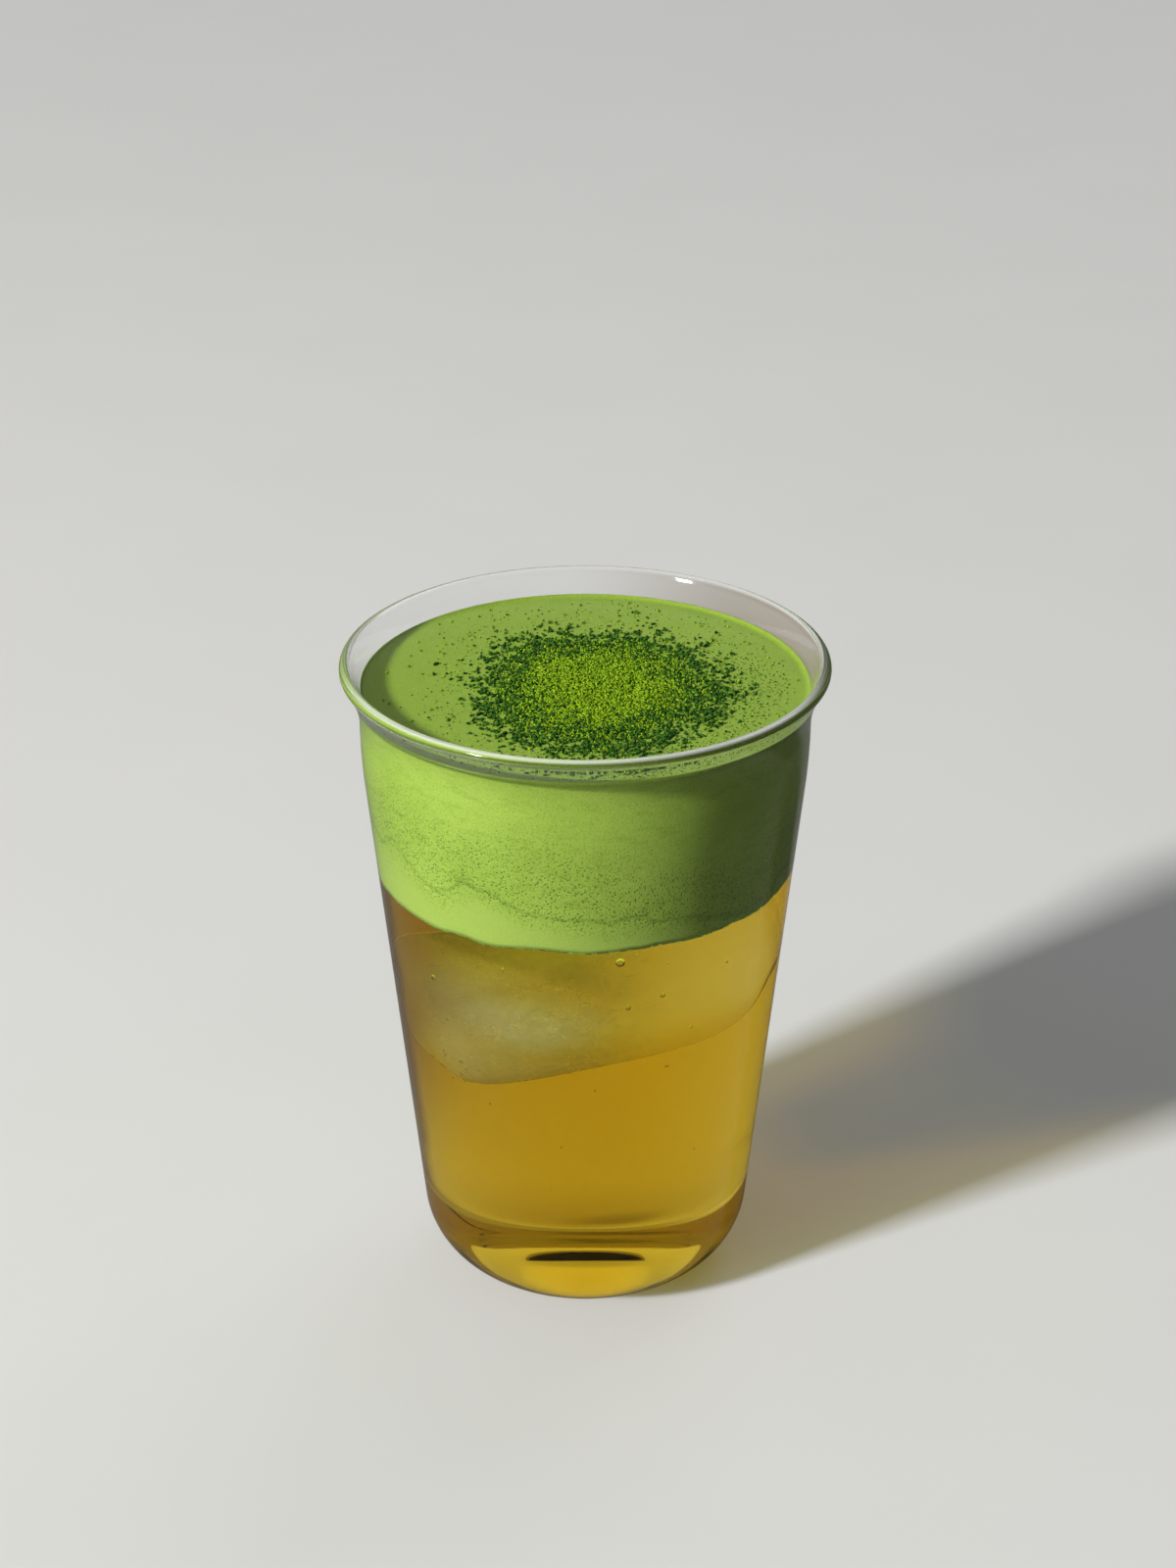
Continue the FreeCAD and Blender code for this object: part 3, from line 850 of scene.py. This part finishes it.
def round_grain():
    """The 12 corners and 20 faces of a round grain."""
    golden = (1 + math.sqrt(5)) / 2
    corners = [(-1, golden, 0), (1, golden, 0), (-1, -golden, 0), (1, -golden, 0)]
    points = np.array(corners + [(z, x, y) for x, y, z in corners]
                      + [(y, z, x) for x, y, z in corners], float)
    points /= np.linalg.norm(points[0])
    spacing = min(np.linalg.norm(points[0] - p) for p in points[1:])
    near = [[np.linalg.norm(a - b) < spacing * 1.1 for b in points] for a in points]
    faces = []
    for a, b, c in itertools.combinations(range(len(points)), 3):
        if near[a][b] and near[b][c] and near[a][c]:
            normal = np.cross(points[b] - points[a], points[c] - points[a])
            outward = np.dot(normal, points[a] + points[b] + points[c]) > 0
            faces.append((a, b, c) if outward else (a, c, b))
    return points, np.array(faces)


GRAIN_POINTS, GRAIN_FACES = round_grain()


def grains(name, places, sizes, finish, seed):
    """Many loose grains as one piece: each a lumpy ball of its own size, shape and turn."""
    rng = np.random.default_rng(seed)
    count = len(places)
    corners = len(GRAIN_POINTS)
    axes, _ = np.linalg.qr(rng.normal(size=(count, 3, 3)))
    shape = rng.uniform(0.72, 1.18, (count, 1, 3)) * sizes[:, None, None]
    lumpy = GRAIN_POINTS[None] * rng.uniform(0.8, 1.15, (count, corners, 1)) * shape
    points = np.einsum("nij,nkj->nki", axes, lumpy) + places[:, None, :]
    flipped = np.linalg.det(axes) < 0
    faces = np.where(flipped[:, None, None], GRAIN_FACES[None, :, ::-1], GRAIN_FACES[None])
    faces = faces + corners * np.arange(count)[:, None, None]
    piece = piece_from(name, points.reshape(-1, 3), faces.reshape(-1, 3).tolist(), finish)


def scattered(rng, count, chance):
    """Places in the dusting, kept with a chance that depends on how far out they lie."""
    kept = np.empty((0, 2))
    while len(kept) < count:
        tries = rng.uniform(-1.6, 1.6, (count * 4, 2))
        turn = np.arctan2(tries[:, 1], tries[:, 0])
        far = np.hypot(*tries.T) / heap_reach(turn)
        taken = rng.uniform(0, 1, len(tries)) < chance(far, turn)
        kept = np.vstack([kept, HEAP + tries[taken] * DUST_HALF])
        kept = kept[np.hypot(*kept.T) < FLAT_R - DUST_EDGE]
    return kept[:count]


def resting(spots, sizes, rng, lift=0.55):
    """Grain centres on the heap or the foam, lifted by a share of their size."""
    ground = FOAM_Z + np.maximum(heap_height(*spots.T) - 0.06 * MM, 0) + foam_relief(*spots.T)
    heights = ground + sizes * lift
    return np.column_stack([spots, heights + rng.uniform(0, 0.05 * MM, len(spots))])


DRY_GRAINS, MOIST_CLUMPS, SPECKS = 8200, 3100, 2600


def make_dry_grains(finish):
    """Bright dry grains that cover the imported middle."""
    rng = np.random.default_rng(seed=21)

    def chance(far, turn):
        return 1 - 0.993 * fade(far, 0.40, 0.90)

    spots = scattered(rng, DRY_GRAINS, chance)
    sizes = rng.uniform(0.17, 0.30, len(spots)) * MM
    grains("powder_grains_dry", resting(spots, sizes, rng), sizes, finish, seed=22)


def make_moist_clumps(finish):
    """Darker clumps of one to three grains that ring the middle and stray outwards."""
    rng = np.random.default_rng(seed=31)

    def chance(far, turn):
        ringed = fade(far, 0.30, 0.68) * (1 - fade(far, 0.72, 1.22)) ** 1.5
        front = 0.85 + 0.15 * np.cos(turn + math.pi / 2)
        return ringed * front + 0.014 * (1 - fade(far, 1.0, 1.5))

    spots, sizes = [], []
    for heart in scattered(rng, MOIST_CLUMPS, chance):
        count = rng.integers(1, 4)
        size = rng.uniform(0.20, 0.38) * MM
        heading = rng.uniform(0, FULL_TURN)
        step = np.array([math.cos(heading), math.sin(heading)]) * size * 1.2
        for i in range(count):
            spots.append(heart + step * i + rng.normal(0, 0.25, 2) * size)
            sizes.append(size * rng.uniform(0.7, 1.1))
    spots, sizes = np.array(spots), np.array(sizes)
    grains("powder_clumps_moist", resting(spots, sizes, rng), sizes, finish, seed=32)


def make_specks(finish):
    """Fine specks that drifted away from the heap, mostly to the right and the front."""
    rng = np.random.default_rng(seed=41)

    def chance(far, turn):
        drift = 0.25 + 0.75 * fade(np.cos(turn + 0.5), 0.1, 0.9)
        return drift * fade(far, 0.6, 0.9) * (1 - fade(far, 0.95, 1.55))

    spots = scattered(rng, SPECKS, chance)
    sizes = rng.uniform(0.06, 0.16, len(spots)) * MM
    grains("powder_specks", resting(spots, sizes, rng, lift=0.3), sizes, finish, seed=42)


# ---------------------------------------------------------------- the ice

ICE_MIDDLE = np.array([0.0, -6.5 * MM, TEA_Z - 19.2 * MM])
ICE_HALF = np.array([29.0, 14.0, 13.6]) * MM
ICE_TURN = math.radians(8)          # about the upright
ICE_TILT = math.radians(-13.5)      # its right end is the higher one
ICE_SQUARE = 4.5                    # 2 would be an egg, and a very large number a box
ICE_MELT = 0.035                    # how far melting has made it uneven, as a share of its size
ICE_STEPS = 28
ICE_GAP = 0.05 * MM                 # between the ice and the tea round it


def box_grid(steps):
    """Points and faces of a cube of half width 1, each side in steps by steps squares."""
    cuts = np.linspace(-1, 1, steps + 1)
    points, faces, index = [], [], {}

    def corner(x, y, z):
        key = (round(x, 5), round(y, 5), round(z, 5))
        if key not in index:
            index[key] = len(points)
            points.append(key)
        return index[key]

    for axis in range(3):
        for side in (-1, 1):
            for a, b in zip(cuts, cuts[1:]):
                for c, d in zip(cuts, cuts[1:]):
                    square = [(a, c), (b, c), (b, d), (a, d)]
                    if side < 0:
                        square.reverse()
                    cube = [np.roll((side, u, v), axis) for u, v in square]
                    faces.append(tuple(corner(*p) for p in cube))
    return np.array(points), faces


def ice_form(shrink=0.0):
    """The one big block under the foam: a box with melted corners, turned and tilted."""
    points, faces = box_grid(ICE_STEPS)
    points /= (np.abs(points) ** ICE_SQUARE).sum(1)[:, None] ** (1 / ICE_SQUARE)
    x, y, z = points.T
    swell = ICE_MELT * (uneven(x + 2 * z, y, cell=1.1, seed=51)
                        + uneven(y - z, x, cell=0.8, seed=52))
    points *= (1 + swell)[:, None]
    points *= ICE_HALF - shrink
    pose = Matrix.Rotation(ICE_TURN, 3, "Z") @ Matrix.Rotation(ICE_TILT, 3, "Y")
    return points @ np.array(pose).T + ICE_MIDDLE, faces


def make_ice(finish):
    ice = piece_from("ice_block", *ice_form(ICE_GAP), finish)


CLOUD_MIDDLE = np.array([-7 * MM, -9 * MM, TEA_Z - 25.5 * MM])
CLOUD_HALF = np.array([14 * MM, 9 * MM, 8 * MM])
CLOUD_SHEETS = 12
CLOUD_SHARES = np.linspace(0.1, 1, 9)       # each sheet's rings, from a small hole to its edge


def make_cloud(finish):
    """The heart's veils of trapped air: thin sheets that cross at random and fade outwards."""
    rng = np.random.default_rng(seed=91)
    places, faces = [], []
    for sheet in range(CLOUD_SHEETS):
        lean, _ = np.linalg.qr(rng.normal(size=(3, 3)))
        offset = rng.uniform(-0.4, 0.4)
        rings = []
        for share in CLOUD_SHARES * math.sqrt(1 - offset ** 2):
            u, v = share * np.cos(turns), share * np.sin(turns)
            wave = offset + 0.12 * uneven(u, v, cell=0.5, seed=71 + sheet)
            rings.append(CLOUD_MIDDLE + np.column_stack([u, v, wave]) @ lean * CLOUD_HALF)
        faces += skin_faces(rings, len(places) * AROUND)
        places += rings
    cloud = piece_from("ice_cloud", np.vstack(places), faces, finish)


# ---------------------------------------------------------------- studio

FLOOR_HALF = 4.0
FLOOR_DROP = 0.02 * MM              # keeps the floor just off the glass's foot


def make_floor(finish):
    mesh = bpy.data.meshes.new("studio_floor")
    corners = [(-FLOOR_HALF, -FLOOR_HALF, 0), (FLOOR_HALF, -FLOOR_HALF, 0),
               (FLOOR_HALF, FLOOR_HALF, 0), (-FLOOR_HALF, FLOOR_HALF, 0)]
    mesh.from_pydata(corners, [], [(0, 1, 2, 3)])
    mesh.materials.append(finish)
    floor = bpy.data.objects.new("studio_floor", mesh)
    bpy.context.scene.collection.objects.link(floor)
    floor.location.z = -FLOOR_DROP


LAMP_AIM = Vector((0, 0, 0.08))     # the middle of the drink


def softbox(name, place, size, power, tint=(1, 1, 1)):
    """A soft lamp. Its light passes the glass straight, so it isn't also seen through it."""
    lamp = bpy.data.lights.new(name, "AREA")
    lamp.shape = "RECTANGLE"
    lamp.size, lamp.size_y = size
    lamp.energy = power
    lamp.color = tint
    box = bpy.data.objects.new(name, lamp)
    bpy.context.scene.collection.objects.link(box)
    box.location = place
    box.rotation_euler = (LAMP_AIM - box.location).to_track_quat("-Z", "Y").to_euler()
    box.visible_transmission = False


def studio_air():
    """Light from all round, dimmer on the right, and what glass and tea show behind them."""
    air = Finish("studio_air", "worlds", "Generated")
    right, up = air.axes("XZ")
    full, dim = 1.0, 0.4                # behind the glass
    bright, dull = 0.24, 0.05           # on the left and the right of it

    def sky(strength, tone=(0.95, 0.98, 1.0, 1)):
        return air.node("ShaderNodeBackground", {}, {"Color": tone, "Strength": strength})

    light = air.blend(right.between(-0.3, 0.8), sky(bright), sky(dull))
    behind = air.blend(right.between(-0.8, -0.1), sky(full), sky(dim))
    behind = air.blend(up.between(0.3, 0.8), behind, sky(full))
    unseen = air.for_rays(("Transmission",), light, behind)
    shown = air.for_rays(("Camera",), unseen, sky(full, BACKDROP))
    bpy.context.scene.world = air.done(shown, "ShaderNodeOutputWorld")


def make_studio():
    make_floor(pale_floor())
    softbox("key_softbox", place=(-2.38, -1.78, 1.88), size=(0.35, 0.35), power=172.0,
            tint=(1.0, 0.985, 0.96))
    softbox("rim_softbox", place=(0.5, 0.9, 1.2), size=(0.9, 0.5), power=3.0)
    studio_air()


VIEW_PLACE = (0.0005, -0.5835, 0.3832)
VIEW_DOWN = math.radians(25.87)     # how far the view looks down
VIEW_LENS = 80.08                   # in mm, over a sensor as wide as VIEW_SENSOR
VIEW_SENSOR = 36.0


def make_camera():
    """The drinker's view: from the front, a little above, through a long lens."""
    lens = bpy.data.cameras.new("drinker_view")
    lens.lens = VIEW_LENS
    lens.sensor_width = VIEW_SENSOR
    lens.clip_start = 10 * MM
    camera = bpy.data.objects.new("drinker_view", lens)
    bpy.context.scene.collection.objects.link(camera)
    camera.location = VIEW_PLACE
    camera.rotation_euler = (math.pi / 2 - VIEW_DOWN, 0, 0)
    bpy.context.scene.camera = camera


def main():
    """The studio first, then the drink from the glass inwards."""
    scene = bpy.context.scene
    scene.view_settings.view_transform = "Standard"
    scene.cycles.caustics_refractive = False
    scene.cycles.max_bounces = LIGHT_TURNS
    scene.cycles.transmission_bounces = LIGHT_TURNS
    scene.cycles.transparent_max_bounces = 3 * LIGHT_TURNS
    make_studio()
    make_camera()
    make_glass(clear_glass(),
               clear_glass("wetted_glass", index=GLASS_INDEX / TEA_INDEX),
               clear_glass("lip_glass", veil=0.36, gleam=1.0),
               clear_glass("lip_bead_glass", veil=0.36, roughness=0.05, gleam=1.0, painted_highlight=0.5))
    make_tea(golden_tea())
    make_bubbles(air_bubble())
    make_foam(green_foam(), foam_underside())
    make_heap(powder_bed())
    make_dry_grains(powder("powder_dry", DRY_TONES))
    moist = powder("powder_moist", MOIST_TONES)
    make_moist_clumps(moist)
    make_specks(moist)
    make_ice(clear_ice())
    make_cloud(ice_cloud(tuple(CLOUD_MIDDLE), tuple(CLOUD_HALF)))


main()
